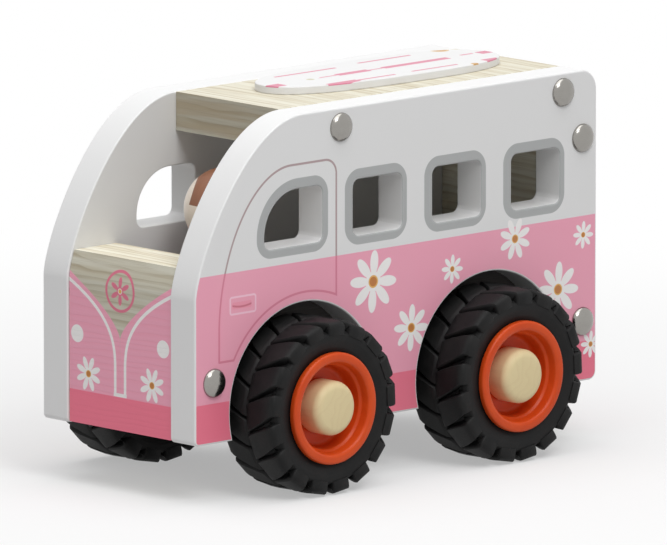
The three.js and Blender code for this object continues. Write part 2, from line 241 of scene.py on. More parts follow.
# print on the outer faces of the side panels: behind the nose and above the panel's foot, mm
sidePrint = {
    "belt": 51.9,
    "band": 12.5,
    "rings": {"middle": 109.4, "apart": 33.6, "half": 13.1, "low": 54.3, "high": 77.85, "corner": 6.0},
    "cabRing": {"front": 25.8, "rear": 55.65, "bow": 17.1},
    "daisies": [
        {"at": (74.7, 42.05), "reach": 9.7, "turn": 4},
        {"at": (90.8, 25.75), "reach": 7.3, "turn": 4},
        {"at": (108.2, 41.9), "reach": 4.5, "turn": 4},
        {"at": (135.0, 48.1), "reach": 6.6, "turn": 22},
        {"at": (164.3, 45.9), "reach": 4.3, "turn": 4},
        {"at": (153.5, 30.05), "reach": 8.7, "turn": 4},
        {"at": (167.6, 11.2), "reach": 4.2, "turn": 4},
    ],
    "door": {
        "rear": 59.1, "top": 82.1, "foot": 24.8, "front": 10.1, "corner": 4.6,
        "bow": {"centre": (40.0, 34.0), "reach": (29.9, 48.1), "power": 1.9},
        "arch": {"centre": (46.3, 7.8), "radius": 34.6},
        "line": 0.34, "hair": 0.01, "ink": 0.9,
    },
    "handle": {
        "low": (14.7, 39.0), "high": (25.3, 44.2), "corner": 0.7, "line": 0.6, "ink": 0.8,
        "middle": 19.6, "half": 4.0, "smile": 0.5,
        "grip": {"low": 40.5, "high": 42.6, "corner": 0.5, "ink": 0.3},
        "under": {"low": 40.8, "high": 41.4, "corner": 0.25, "ink": 0.8},
    },
}


def doorLine(finish, back, up):  # distance to the door's bow, top, rear, corner, foot and wheel arch
    door, bow, arch = sidePrint["door"], sidePrint["door"]["bow"], sidePrint["door"]["arch"]
    rear, top, foot, front, corner, hair = (door[k] for k in ("rear", "top", "foot", "front", "corner", "hair"))
    (bowX, bowY), (reachX, reachY), power = bow["centre"], bow["reach"], bow["power"]
    (archX, archY), radius = arch["centre"], arch["radius"]
    toBow = abs(back - bowX) / reachX
    overBow = abs(up - bowY) / reachY
    slopeX = toBow ** (power - 1) * (power / reachX)
    slopeY = overBow ** (power - 1) * (power / reachY)
    bowAway = abs(toBow ** power + overBow ** power - 1.0) / (slopeX ** 2 + slopeY ** 2) ** 0.5
    rearFoot = archY + sqrt(radius ** 2 - (rear - archX) ** 2)
    archFoot = archX - sqrt(radius ** 2 - (foot - archY) ** 2)
    cornerAway = abs(finish.disc(back, up, (rear - corner, top - corner), corner))
    archAway = abs(finish.disc(back, up, (archX, archY), radius))
    return reduce(Value.least, [
        bowAway.most(back - bowX).most(bowY - up),
        finish.box(back, up, (front - hair, foot), (front + hair, bowY)),
        finish.box(back, up, (bowX, top - hair), (rear - corner, top + hair)),
        finish.box(back, up, (rear - hair, rearFoot), (rear + hair, top - corner)),
        cornerAway.most(rear - corner - back).most(top - corner - up),
        finish.box(back, up, (front, foot - hair), (archFoot, foot + hair)),
        archAway.most(back - rear).most(foot - up),
    ])


def sidePaint():
    finish = Finish("sidePrint")
    back = vanNose - finish.x
    up = finish.z - vanFoot
    belowBelt = finish.inside(up - sidePrint["belt"])
    colour = finish.mix(belowBelt, paints["white"], paints["pink"])
    colour = finish.mix(finish.inside(up - sidePrint["band"]), colour, paints["deepPink"])
    door = sidePrint["door"]
    onLine = finish.inside(doorLine(finish, back, up) - door["line"]) * door["ink"]
    colour = finish.mix(onLine, colour, finish.mix(belowBelt, paints["line"], paints["pinkLine"]))
    # handle plate with its grip
    handle = sidePrint["handle"]
    plate = abs(finish.box(back, up, handle["low"], handle["high"], handle["corner"])) - handle["line"] / 2
    colour = finish.mix(finish.inside(plate) * handle["ink"], colour, paints["palePink"])
    middle, half = handle["middle"], handle["half"]
    smile = (abs(back - middle) / half) ** 2 * handle["smile"]
    for key, height, tone in (("grip", up, "deepPink"), ("under", up - smile, "gripPink")):
        mark = handle[key]
        low, high = (middle - half, mark["low"]), (middle + half, mark["high"])
        area = finish.box(back, height, low, high, mark["corner"])
        colour = finish.mix(finish.inside(area) * mark["ink"], colour, paints[tone])
    for daisy in sidePrint["daisies"]:
        colour = finish.flower(colour, back, up, daisy, paints["petal"], paints["eyes"])
    # grey rings round the windows
    ring, cab = sidePrint["rings"], sidePrint["cabRing"]
    fromMiddle = abs(back - ring["middle"])
    toWindow = fromMiddle.least(abs(fromMiddle - ring["apart"]))
    rings = finish.box(toWindow, up, (-ring["half"], ring["low"]), (ring["half"], ring["high"]), ring["corner"])
    cabRing = finish.box(back, up, (cab["front"], ring["low"]), (cab["rear"], ring["high"]), ring["corner"])
    cabBow = finish.cornered(cab["front"] + cab["bow"] - back, up - (ring["high"] - cab["bow"]), cab["bow"])
    colour = finish.mix(finish.inside(rings.least(cabRing.most(cabBow))), colour, paints["grey"])
    return paintSkin(finish, colour, roughness=0.40)


def edgePaint(name, white):
    return paintSkin(Finish(name), paints[white], roughness=0.45)


# sanded pine: the grain runs across the van
pine = {
    "pale": (0.775, 0.748, 0.63, 1), "warm": (0.68, 0.63, 0.49, 1), "late": (0.42, 0.335, 0.22, 1),
    "wander": (0.07, 0.016, 0.07), "bands": (0.42, 0.014, 0.42), "fibre": (2.4, 0.06, 2.4),
    "broad": (0.2, 0.01, 0.2),
    "roughness": 0.55, "printedRoughness": 0.46,
}


def pineGrain(finish, shade=1.0):
    growth = finish.x * 0.34 + finish.z * 0.46 + finish.grain(pine["wander"], 1.0, 3.0) * 4.6
    late = finish.lateWood(growth, 0.30, 0.90)
    bands = finish.grain(pine["bands"], 1.0, 3.0)
    fibre = finish.grain(pine["fibre"], 1.0, 4.0)
    pale, warm, dark = ((*(shade * c for c in pine[key][:3]), 1) for key in ("pale", "warm", "late"))
    tone = finish.mix(finish.spread(bands, 0.34, 0.66), pale, warm)
    tone = finish.mix(late * finish.spread(bands, 0.25, 0.75) * 0.6, tone, dark)
    tone = finish.mix(finish.spread(fibre, 0.52, 0.78) * 0.42, tone, dark)
    return tone, fibre, late


def pineSurface(finish, tone, fibre, late, roughness):
    return finish.surface({
        "Base Color": tone,
        "Roughness": roughness + (fibre - 0.5) * 0.2,
        "Specular IOR Level": 0.3,
        "Normal": finish.bump(fibre * 0.7 - late * 0.5, 0.00007, 0.7),
    })


def barePine(name, shade=1.0, brown=0.0):
    finish = Finish(name)
    tone, fibre, late = pineGrain(finish, shade)
    if brown:  # broad brown bands
        broad = finish.grain(pine["broad"], 1.0, 2.0)
        tone = finish.mix(finish.spread(broad, 0.44, 0.58) * brown, tone, pine["late"])
    return pineSurface(finish, tone, fibre, late, pine["roughness"])


def pinkOnPine(finish, late, pink):  # the grain shows a little through the print
    return finish.mix(0.10 * late, paints[pink], paints["deepPink"])


# chassis: near-black over the grain, standing in for the shade inside the wheel arches: painted shade
shadeBlackTones = {"dark": (0.082, 0.076, 0.073, 1), "fibre": (0.145, 0.135, 0.128, 1)}


def blackStain():
    finish = Finish("blackStain")
    fibre = finish.grain((0.06, 2.4, 2.4), 1.0, 4.0)
    broad = finish.noise(finish.place, 0.06, 3.0)
    return finish.surface({
        "Base Color": finish.mix(finish.spread(fibre, 0.45, 0.8) * 0.7, shadeBlackTones["dark"], shadeBlackTones["fibre"]),
        "Roughness": 0.72 + (broad - 0.5) * 0.2,
        "Specular IOR Level": 0.2,
        "Normal": finish.bump(fibre, 0.00007, 0.7),
    })


# print on the front block: across from the middle and above the panel's foot, mm
frontPrint = {
    # the bare pine of the print darker than the other pine: painted shade
    "shade": 0.84,
    "band": 10.8,
    "opening": {"apex": 28.6, "flare": 0.264, "power": 1.52, "edge": 0.7},
    "lines": {"half": 2.2, "from": 19.0, "flare": 0.00375, "power": 2.65, "width": 1.1},
    "foot": {"half": 2.9, "low": 10.9, "high": 12.0, "corner": 0.1},
    "lamp": {"at": (19.2, 28.2), "radius": 2.75},
    "daisy": {"at": (14.2, 16.3), "reach": 5.5, "turn": 22.5},
    "badge": {"at": (0.0, 43.6), "radius": 6.1, "line": 0.95},
    "bloom": {"at": (0.0, 43.6), "reach": 4.4, "turn": 0, "petals": 6},
}


def frontPaint():
    finish = Finish("frontPrint")
    # the bare pine darkened by the print's shade: painted shade
    tone, fibre, late = pineGrain(finish, frontPrint["shade"])
    up = finish.z - vanFoot
    side = abs(finish.y)
    opening, lines, foot, lamp, badge = (frontPrint[k] for k in ("opening", "lines", "foot", "lamp", "badge"))
    bare = (up - opening["apex"]).most(0.0) ** opening["power"] * opening["flare"]
    printed = finish.inside((bare - side) * opening["edge"])
    colour = finish.mix(printed, tone, pinkOnPine(finish, late, "frontPink"))
    # white lines that part upwards, their foot and the lamps
    rise = (up - lines["from"]).most(0.0)
    curve = rise ** lines["power"] * lines["flare"] + lines["half"]
    slope = rise ** (lines["power"] - 1) * (lines["flare"] * lines["power"])
    away = abs(side - curve) / (slope * slope + 1.0) ** 0.5 - lines["width"] / 2
    base = finish.box(side, up, (-foot["half"], foot["low"]), (foot["half"], foot["high"]), foot["corner"])
    white = finish.inside(away.most(foot["low"] - up)).most(finish.inside(base))
    white = white.most(finish.inside(finish.disc(side, up, lamp["at"], lamp["radius"])))
    colour = finish.mix(white, colour, paints["petal"])
    colour = finish.flower(colour, side, up, frontPrint["daisy"], paints["petal"], paints["eyes"])
    colour = finish.mix(finish.inside(up - frontPrint["band"]), colour, paints["frontDeep"])
    # plain ring with a small flower
    ring = abs(finish.disc(finish.y, up, badge["at"], badge["radius"])) - badge["line"] / 2
    colour = finish.mix(finish.inside(ring), colour, paints["badge"])
    hearts = [paints["petal"], paints["eyes"][0]]
    colour = finish.flower(colour, finish.y, up, frontPrint["bloom"], paints["badge"], hearts)
    return pineSurface(finish, colour, fibre, late, pine["printedRoughness"])


# print on the rear panel: the side's belt and band with two plain dots
rearPrint = {"dots": {"at": (17.5, 30.0), "radius": 2.75}}


def rearPaint():
    finish = Finish("rearPrint")
    tone, fibre, late = pineGrain(finish)
    up = finish.z - vanFoot
    dots = finish.disc(abs(finish.y), up, rearPrint["dots"]["at"], rearPrint["dots"]["radius"])
    colour = finish.mix(finish.inside(up - sidePrint["belt"]), tone, pinkOnPine(finish, late, "pink"))
    colour = finish.mix(finish.inside(dots), colour, paints["petal"])
    colour = finish.mix(finish.inside(up - sidePrint["band"]), colour, paints["deepPink"])
    return pineSurface(finish, colour, fibre, late, pine["printedRoughness"])


# print on the surfboard: behind the nose and across, mm
boardPrint = {
    "bars": [
        ((75.2, -11.2), (101.2, -9.9)), ((112, -12.9), (134.5, -11.6)),
        ((83.5, -0.8), (139.5, 0.2)), ((92, -2.0), (105.5, 1.2)), ((111.5, -1.9), (139.5, 1.1)),
        ((77.5, 9.6), (90, 12.8)), ((90, 10.4), (106, 11.6)), ((113.5, 9.8), (133, 11.0)),
        ((60.6, -0.9), (67.6, 3.3)), ((152.6, -2.6), (157.2, 1.4)),
        ((145.6, -2.1), (151, -0.9)), ((144, 9.0), (150.5, 12.4)),
    ],
    "barCorner": 0.2,
    "daisies": [
        {"at": (147.6, -13.0), "reach": 7.0, "turn": 0, "eye": 0.44, "eyes": "eyes"},
        {"at": (137.9, 13.2), "reach": 5.0, "turn": 10, "eye": 0.28, "eyes": "eyes"},
        {"at": (80.4, 0.0), "reach": 5.0, "turn": 15, "eye": 0.28, "eyes": "paleEyes"},
    ],
    "top": 118.3,
    "stripe": (0.66, 0.20, 0.30, 1),
    "eyes": [(0.72, 0.50, 0.24, 1), (0.55, 0.30, 0.10, 1)],
    "paleEyes": [(0.70, 0.68, 0.55, 1), (0.56, 0.53, 0.38, 1)],
}


def boardPaint():
    finish = Finish("boardPrint")
    back = vanNose - finish.x
    corner = boardPrint["barCorner"]
    bars = [finish.box(back, finish.y, low, high, corner) for low, high in boardPrint["bars"]]
    colour = finish.mix(finish.inside(reduce(Value.least, bars)), paints["white"], boardPrint["stripe"])
    for daisy in boardPrint["daisies"]:
        colour = finish.flower(colour, back, finish.y, daisy, paints["white"], boardPrint[daisy["eyes"]])
    onTop = finish.z.math("GREATER_THAN", boardPrint["top"])
    return paintSkin(finish, finish.mix(onTop, paints["white"], colour), roughness=0.38)


# doll: painted body, sealed wooden head with painted hair and a plain face
doll = {
    "middle": (40.2, 0.0),
    "headZ": 82.6,
    "headRadius": 12.9,
    "chin": 6.0,
    "floor": 60.0,
    "base": (12.0, 1.2),  # radius and rounding
    "shoulder": (10.0, 3.4), "shoulderDrop": 4,
    "neck": (6.0, 0.4),
    "turn": 10.0,
    "cheeks": (6.6, -6.2), "cheekFade": (2.6, 0.9),
    "eyes": (3.7, -3.6), "eyeRadius": 1.0,
    "mouth": (0.0, -4.6), "mouthRadius": 3.0, "mouthTop": -6.4, "mouthLine": 0.3,
    "parting": {"x": 0.617, "y": 0.741, "z": 0.265, "at": 10.7},  # bare at the front right
    "fringe": 2.3, "fringeDrop": 7.5, "fringeRun": (4.0, -5.0),  # lower at the back
    "stripe": 4.2,
    "hair": (0.30, 0.125, 0.065, 1), "strand": (0.20, 0.075, 0.04, 1),
    "skin": (0.87, 0.77, 0.67, 1), "skinGrain": (0.76, 0.62, 0.48, 1),
    "cheek": (0.84, 0.42, 0.38, 1),
    "ink": (0.05, 0.03, 0.025, 1),
}


def dollHeadPaint():
    finish = Finish("dollHeadPaint")
    x = finish.x - doll["middle"][0]
    up = finish.z - doll["headZ"]
    turn = radians(doll["turn"])
    ahead = x * cos(turn) + finish.y * sin(turn)
    aside = finish.y * cos(turn) - x * sin(turn)
    grain = finish.grain((0.9, 0.9, 0.1), 1.2, 4.0)
    skin = finish.mix(grain * 0.22, doll["skin"], doll["skinGrain"])
    cheeks = finish.spread(finish.disc(abs(aside), up, doll["cheeks"], 0.0), *doll["cheekFade"])
    colour = finish.mix(cheeks * 0.5, skin, doll["cheek"])
    eyes = finish.disc(abs(aside), up, doll["eyes"], doll["eyeRadius"])
    mouth = abs(finish.disc(aside, up, doll["mouth"], doll["mouthRadius"]))
    smile = mouth.most(up - doll["mouthTop"]) - doll["mouthLine"]
    face = eyes.least(smile).most(0.0 - ahead)
    colour = finish.mix(finish.inside(face), colour, doll["ink"])
    strand = finish.grain((0.15, 1.5, 0.4), 1.4, 4.0)
    hair = finish.mix(strand * 0.5, doll["hair"], doll["strand"])
    part = doll["parting"]
    parting = x * part["x"] - finish.y * part["y"] + up * part["z"] - part["at"]
    fringe = doll["fringe"] - doll["fringeDrop"] * finish.spread(x, *doll["fringeRun"])
    colour = finish.mix(finish.inside((fringe - up).most(parting)), colour, hair)
    return finish.surface({
        "Base Color": colour,
        "Roughness": 0.36 + (grain - 0.5) * 0.12,
        "Normal": finish.bump(grain, 0.00004, 0.4),
    })


def dollBodyPaint():
    finish = Finish("dollBodyPaint")
    stripe = ((finish.z - doll["floor"]) / doll["stripe"]).math("FLOORED_MODULO", 1.0)
    colour = finish.mix(finish.inside(abs(stripe - 0.5) - 0.25, 0.02), paints["petal"], paints["pink"])
    return paintSkin(finish, colour, roughness=0.40)


# metal, rubber, plastic and turned wood, each in two or three tones
tones = {
    "nail": [(0.33, 0.318, 0.296, 1), (0.265, 0.255, 0.237, 1)],
    "rubber": [(0.0052, 0.0054, 0.0056, 1), (0.0100, 0.0097, 0.0096, 1)],
    "orange": [(0.71, 0.080, 0.010, 1), (0.64, 0.062, 0.007, 1)],
    "peg": [(0.79, 0.66, 0.385, 1), (0.66, 0.50, 0.26, 1), (0.56, 0.40, 0.20, 1)],
}


def brightMetal():
    finish = Finish("brightNail")
    haze = finish.noise(finish.place, 0.6, 3.0)
    scratch = finish.grain((0.4, 1.0, 3.0), 1.5, 2.0)
    return finish.surface({
        "Base Color": finish.mix(haze * 0.5, *tones["nail"]),
        "Metallic": 1.0,
        "Roughness": 0.15 + haze * 0.08,
        "Normal": finish.bump(scratch, 0.000004, 0.2),
    })


def blackRubber():
    finish = Finish("blackRubber")
    grain = finish.noise(finish.place, 2.2, 4.0)
    broad = finish.noise(finish.place, 0.18, 3.0)
    return finish.surface({
        "Base Color": finish.mix(finish.spread(broad, 0.35, 0.7), *tones["rubber"]),
        "Roughness": 0.58 + (grain - 0.5) * 0.22 + (broad - 0.5) * 0.12,
        "Specular IOR Level": 0.21,
        "Normal": finish.bump(grain, 0.00006, 0.5),
    })


def orangePlastic():
    finish = Finish("orangePlastic")
    flow = finish.noise(finish.place, 0.11, 3.0)
    grain = finish.noise(finish.place, 2.8, 3.0)
    return finish.surface({
        "Base Color": finish.mix(finish.spread(flow, 0.3, 0.75), *tones["orange"]),
        "Roughness": 0.37 + (grain - 0.5) * 0.14,
        "Specular IOR Level": 0.27,
        "Normal": finish.bump(grain, 0.00003, 0.35),
    })


def turnedWood():
    finish = Finish("turnedWood")
    growth = finish.x * 0.32 + finish.z * 0.18 + finish.grain((0.1, 0.02, 0.1), 1.0, 2.0) * 5.0
    fibre = finish.grain((2.6, 0.12, 2.6), 1.0, 4.0)
    pale, late, dark = tones["peg"]
    tone = finish.mix(finish.lateWood(growth, 0.35, 0.95) * 0.16, pale, late)
    return finish.surface({
        "Base Color": finish.mix(finish.spread(fibre, 0.5, 0.85) * 0.18, tone, dark),
        "Roughness": 0.50 + (fibre - 0.5) * 0.16,
        "Specular IOR Level": 0.35,
        "Normal": finish.bump(fibre, 0.00005, 0.5),
    })


finishes = {
    "side": sidePaint(),
    # edges and upward sills: a lighter white, painted light
    "edge": edgePaint("whiteEdges", "litEdgeWhite"),
    # reveals and inner faces: a darker white, painted shade
    "inner": edgePaint("whiteInside", "shadedInnerWhite"),
    "front": frontPaint(),
    "rear": rearPaint(),
    "pine": barePine("pineAcross"),
    # the front block's top and sides: the pine lighter, painted light
    "palePine": barePine("palePine", shade=1.12),
    # the roof's front face: the pine darker, painted shade, with brown grain bands
    "pineFace": barePine("pineFace", shade=0.68, brown=0.6),
    "black": blackStain(),
    "board": boardPaint(),
    "dollHead": dollHeadPaint(),
    "dollBody": dollBodyPaint(),
    "nail": brightMetal(),
    "rubber": blackRubber(),
    "orange": orangePlastic(),
    "peg": turnedWood(),
}
print("finishes:", len(finishes))


# shapes

def arcPoints(x, y, radius, start, end, steps):
    turns = [radians(start + (end - start) * i / steps) for i in range(steps + 1)]
    return [(x + radius * cos(t), y + radius * sin(t)) for t in turns]


def bezierPoints(p0, p1, p2, p3, steps):
    points = []
    for i in range(steps + 1):
        t = i / steps
        w = ((1 - t) ** 3, 3 * t * (1 - t) ** 2, 3 * t * t * (1 - t), t ** 3)
        points.append(tuple(sum(k * p[axis] for k, p in zip(w, (p0, p1, p2, p3))) for axis in (0, 1)))
    return points


def filleted(corners, steps):  # corners are (radius, along, rounding)
    points = []
    last = len(corners) - 1
    for i, (a, b, rounding) in enumerate(corners):
        if rounding == 0 or i in (0, last):
            points.append((a, b))
            continue
        here = Vector((a, b))
        before = (Vector(corners[i - 1][:2]) - here).normalized()
        after = (Vector(corners[i + 1][:2]) - here).normalized()
        half = before.angle(after) / 2
        reach = rounding / tan(half)
        middle = here + (before + after).normalized() * (rounding / sin(half))
        start = here + before * reach - middle
        end = here + after * reach - middle
        swing = atan2(start.x * end.y - start.y * end.x, start.dot(end))
        for k in range(steps + 1):
            spoke = Matrix.Rotation(swing * k / steps, 2) @ start
            points.append(tuple(middle + spoke))
    return points


def place(name, mesh, body, slot, replaced):
    piece = bpy.data.objects.new(name, mesh)
    bpy.context.scene.collection.objects.link(piece)
    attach(piece, body)
    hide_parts(*replaced)
    return piece


def finalMesh(holder):  # with its modifiers or bevels applied
    graph = bpy.context.evaluated_depsgraph_get()
    return bpy.data.meshes.new_from_object(holder.evaluated_get(graph))


mergeWithin, flatWithin = 0.0000008, 0.0000005  # metres


def settle(mesh, materials, sharp, chooser=None):  # merge doubles, turn faces outwards, smooth
    work = bmesh.new()
    work.from_mesh(mesh)
    bmesh.ops.remove_doubles(work, verts=work.verts, dist=mergeWithin)
    bmesh.ops.dissolve_degenerate(work, edges=work.edges, dist=flatWithin)
    bmesh.ops.recalc_face_normals(work, faces=work.faces)
    for face in work.faces:
        face.smooth = True
        face.material_index = chooser(face) if chooser else 0
    mesh.materials.clear()
    for material in materials:
        mesh.materials.append(material)
    work.to_mesh(mesh)
    work.free()
    mesh.set_sharp_from_angle(angle=radians(sharp))
    return mesh


def sawn(name, outlines, thickness, bevel, flat=False):  # board sawn from outlines, edges rounded
    curve = bpy.data.curves.new(name, "CURVE")
    curve.dimensions = "2D"
    curve.fill_mode = "BOTH"
    for outline in outlines:
        spline = curve.splines.new("POLY")
        spline.points.add(len(outline) - 1)
        for point, (a, b) in zip(spline.points, outline):
            point.co = (a * mm, b * mm, 0, 1)
        spline.use_cyclic_u = True
    curve.extrude = (thickness / 2 - bevel) * mm
    curve.bevel_depth = bevel * mm
    curve.bevel_resolution = 3
    curve.offset = -bevel * mm
    holder = bpy.data.objects.new(name, curve)
    bpy.context.scene.collection.objects.link(holder)
    mesh = finalMesh(holder)
    bpy.data.objects.remove(holder)
    mesh.name = name
    if not flat:
        mesh.transform(Matrix.Rotation(pi / 2, 4, "X"))  # the outline stands in x and z
    return mesh


def evenNormals(piece):  # keeps broad faces flat beside their rounded edges
    even = piece.modifiers.new("even", "WEIGHTED_NORMAL")
    even.keep_sharp = True
    even.weight = 80
    mesh = finalMesh(piece)
    piece.modifiers.remove(even)
    old = piece.data
    piece.data = mesh
    mesh.name = old.name
    bpy.data.meshes.remove(old)


def turned(name, profile, centre, axis, steps):  # profile of radius and along, closed on the axis or as a ring
    work = bmesh.new()
    turns = [2 * pi * i / steps for i in range(steps)]
    rings = []
    for radius, along in profile:
        if radius < 0.0001:
            rings.append([work.verts.new((0, 0, along * mm))])
            continue
        rings.append([work.verts.new((radius * cos(t) * mm, radius * sin(t) * mm, along * mm)) for t in turns])
    pairs = list(zip(rings, rings[1:]))
    if profile[0][0] > 0:  # a ring: its last circle meets the first
        pairs.append((rings[-1], rings[0]))
    for lower, upper in pairs:
        for i in range(steps):
            j = (i + 1) % steps
            corners = [lower[i % len(lower)], lower[j % len(lower)], upper[j % len(upper)], upper[i % len(upper)]]
            unique = list(dict.fromkeys(corners))
            if len(unique) > 2:
                work.faces.new(unique)
    bmesh.ops.recalc_face_normals(work, faces=work.faces)
    mesh = bpy.data.meshes.new(name)
    work.to_mesh(mesh)
    work.free()
    mesh.transform(Matrix.Translation(Vector(centre) * mm) @ axis)
    return mesh


axes = {"up": Matrix.Identity(4), "left": Matrix.Rotation(-pi / 2, 4, "X"), "right": Matrix.Rotation(pi / 2, 4, "X")}
sides = {"left": 1, "right": -1}


# side panels
panel = {
    "top": 116.2, "inner": 23.0, "outer": 34.0, "bevel": 0.55, "sharp": 40,
    "curve": [(vanNose, 63.2), (vanNose, 73.3), (64.9, 116.2), (39.7, 116.2)],
    "tailTop": 6.5, "tailFoot": 2.8, "toe": 1.6,
    "arches": [-39.1, 39.3], "archZ": 27.0, "archRadius": 31.0,
    "windowZ": (75.75, 93.2), "windowRound": 2.5, "windowRim": 2,
    "windows": [  # rear, front and rounding of the upper front corner
        (31.5, 55.8, 13.8), (-2.1, 18.7, 2.5), (-35.7, -14.9, 2.5), (-69.3, -48.5, 2.5),
    ],
    "facing": {"outer": 0.999, "rim": 0.35, "sill": 0.5, "inner": -0.9},
}


def panelOutlines():
    top, toe, tailTop, tailFoot = (panel[k] for k in ("top", "toe", "tailTop", "tailFoot"))
    outline = arcPoints(vanNose - toe, vanFoot + toe, toe, -90, 0, 6)
    outline += bezierPoints(*panel["curve"], 48)
    outline += arcPoints(-vanNose + tailTop, top - tailTop, tailTop, 90, 180, 14)
    outline += arcPoints(-vanNose + tailFoot, vanFoot + tailFoot, tailFoot, 180, 270, 8)
    radius, drop = panel["archRadius"], vanFoot - panel["archZ"]
    dip = degrees(atan2(drop, sqrt(radius ** 2 - drop ** 2)))
    for middle in panel["arches"]:
        outline += arcPoints(middle, panel["archZ"], radius, 180 - dip, dip, 56)
    outlines = [outline]
    low, high = panel["windowZ"]
    r = panel["windowRound"]
    for rear, front, frontTop in panel["windows"]:
        opening = arcPoints(front - r, low + r, r, -90, 0, 8)
        opening += arcPoints(front - frontTop, high - frontTop, frontTop, 0, 90, 16)
        opening += arcPoints(rear + r, high - r, r, 90, 180, 8)
        opening += arcPoints(rear + r, low + r, r, 180, 270, 8)
        outlines.append(opening)
    return outlines


def panelFinish(face, side):  # 1 on the print and the windows' rims, 2 on reveals and inner face, else 0
    facing, limits = face.normal.y * side, panel["facing"]
    low, high = panel["windowZ"]
    rear, front, rim = panel["windows"][-1][0], panel["windows"][0][1], panel["windowRim"]
    at = face.calc_center_median() / mm
    byWindow = low - rim < at.z < high + rim and rear - rim < at.x < front + rim
    if facing > limits["outer"] or (byWindow and facing > limits["rim"]):
        return 1
    # sills that face up are left out of the reveals and keep the lighter edge white: painted light
    reveal = byWindow and face.normal.z <= limits["sill"]
    # 2 gives the reveals and the inner face the darker white, painted shade
    return 2 if reveal or facing < limits["inner"] else 0


def makePanels():
    middle = (panel["inner"] + panel["outer"]) / 2
    used = [finishes[key] for key in ("edge", "side", "inner")]
    for name, side in sides.items():
        mesh = sawn(f"{name}Panel", panelOutlines(), panel["outer"] - panel["inner"], panel["bevel"])
        mesh.transform(Matrix.Translation((0, side * middle * mm, 0)))
        settle(mesh, used, panel["sharp"], lambda face: panelFinish(face, side))
        evenNormals(place(f"{name}Panel", mesh, "body", "painted_panel", [f"{name}_side_panel"]))


makePanels()
print("side panels sawn")


# pine blocks between the panels
blocks = {
    "half": 23.0, "bevel": 0.45, "recess": 0.6, "sharp": 40, "facing": 0.7,
    "front": (65.0, 19.2, 72.2),  # rear, low, high
    "roof": (-84.4, 39.7, 104.2, 116.2, 5.9),  # rear, front, low, high, rounding of the rear edge
    "rear": (-84.4, -73.4, 19.2, 104.2),
    "chassis": (-73.4, 65.0, 19.2, 60.0),
}


def rectangle(left, right, low, high):
    return [(left, low), (right, low), (right, high), (left, high)]


def blockFinish(face, way):  # 1 on the face that looks that way along x, else 0
    return int(face.normal.x * way > blocks["facing"])


def makeBlocks():
    rearX, low, high = blocks["front"]
    curve = [(vanNose, low)] + bezierPoints(*panel["curve"], 120)
    face = [(x - blocks["recess"], z) for x, z in curve if z <= high]
    front = face + [(face[-1][0], high), (rearX, high), (rearX, low)]
    left, right, under, over, rounding = blocks["roof"]
    roof = [(left, under), (right, under), (right, over)]
    roof += arcPoints(left + rounding, over - rounding, rounding, 90, 180, 12)
    plans = {  # outline, slot, node, finishes, way that the second finish faces
        # front block: lighter pine off its printed face as painted light; roof: darker pine on its front face as
        # painted shade
        "frontBlock": (front, "printed_front", "front_block", ["palePine", "front"], 1),
        "roofBlock": (roof, "pine", "roof_block", ["pine", "pineFace"], 1),
        "rearPanel": (rectangle(*blocks["rear"]), "pine", "rear_panel", ["pine", "rear"], -1),
        # chassis: near-black as painted shade in the wheel arches
        "chassisBlock": (rectangle(*blocks["chassis"]), "black_stain", "chassis_block", ["black"], 0),
    }
    for name, (outline, slot, node, used, way) in plans.items():
        mesh = sawn(name, [outline], 2 * blocks["half"], blocks["bevel"])
        materials = [finishes[key] for key in used]
        settle(mesh, materials, blocks["sharp"], lambda face: blockFinish(face, way))
        evenNormals(place(name, mesh, "body", slot, [node]))


makeBlocks()
print("pine blocks made")


# surfboard on the roof
board = {
    "low": 116.2, "high": 118.7, "bevel": 0.35, "sharp": 40,
    "aside": -1.7, "turn": -0.6,  # glued on a little askew
    "nose": [(22.7, 0), (22.3, 15), (-6.4, 16), (-34.4, 16)],
    "tail": [(-34.4, 16), (-50.4, 16), (-72.6, 14.2), (-72.6, 0)],
}


def makeBoard():
    half = bezierPoints(*board["nose"], 30) + bezierPoints(*board["tail"], 30)[1:]
    outline = half + [(x, -y) for x, y in reversed(half[1:-1])]
    mesh = sawn("surfboard", [outline], board["high"] - board["low"], board["bevel"], flat=True)
    mesh.transform(Matrix.Rotation(radians(board["turn"]), 4, "Z"))
    mesh.transform(Matrix.Translation((0, board["aside"] * mm, (board["low"] + board["high"]) / 2 * mm)))
    settle(mesh, [finishes["board"]], board["sharp"])
    evenNormals(place("roofSurfboard", mesh, "body", "painted_board", ["surfboard"]))


makeBoard()
print("surfboard made")


# driver
def makeDoll():
    x, y = doll["middle"]
    radius, chin, sharp = doll["headRadius"], doll["chin"], 50
    chinDrop = sqrt(radius ** 2 - chin ** 2)
    high = doll["headZ"] - chinDrop - doll["floor"]
    (base, baseRound), (shoulder, shoulderRound), (neck, neckRound) = (doll[k] for k in ("base", "shoulder", "neck"))
    body = [(0, 0, 0), (base, 0, baseRound), (shoulder, high - doll["shoulderDrop"], shoulderRound)]
    body += [(neck, high, neckRound), (0, high, 0)]
    mesh = turned("dollBody", filleted(body, 5), (x, y, doll["floor"]), axes["up"], 64)
    settle(mesh, [finishes["dollBody"]], sharp)
    place("dollBody", mesh, "body", "doll_paint", ["driver_body"])
    start = -90 + degrees(atan2(chin, chinDrop))
    head = [(0, -chinDrop)] + arcPoints(0, 0, radius, start, 89.9, 40) + [(0, radius)]
    mesh = turned("dollHead", head, (x, y, doll["headZ"]), axes["up"], 96)
    settle(mesh, [finishes["dollHead"]], sharp)
    place("dollHead", mesh, "body", "doll_head", ["driver_head"])


makeDoll()
print("driver made")


# geometry nodes: domed nails on points, tyre lugs round an axle

def newTree(name, inputs):
    tree = bpy.data.node_groups.new(name, "GeometryNodeTree")
    for label, kind in inputs.items():
        tree.interface.new_socket(label, in_out="INPUT", socket_type=f"NodeSocket{kind}")
    tree.interface.new_socket("Geometry", in_out="OUTPUT", socket_type="NodeSocketGeometry")
    return tree


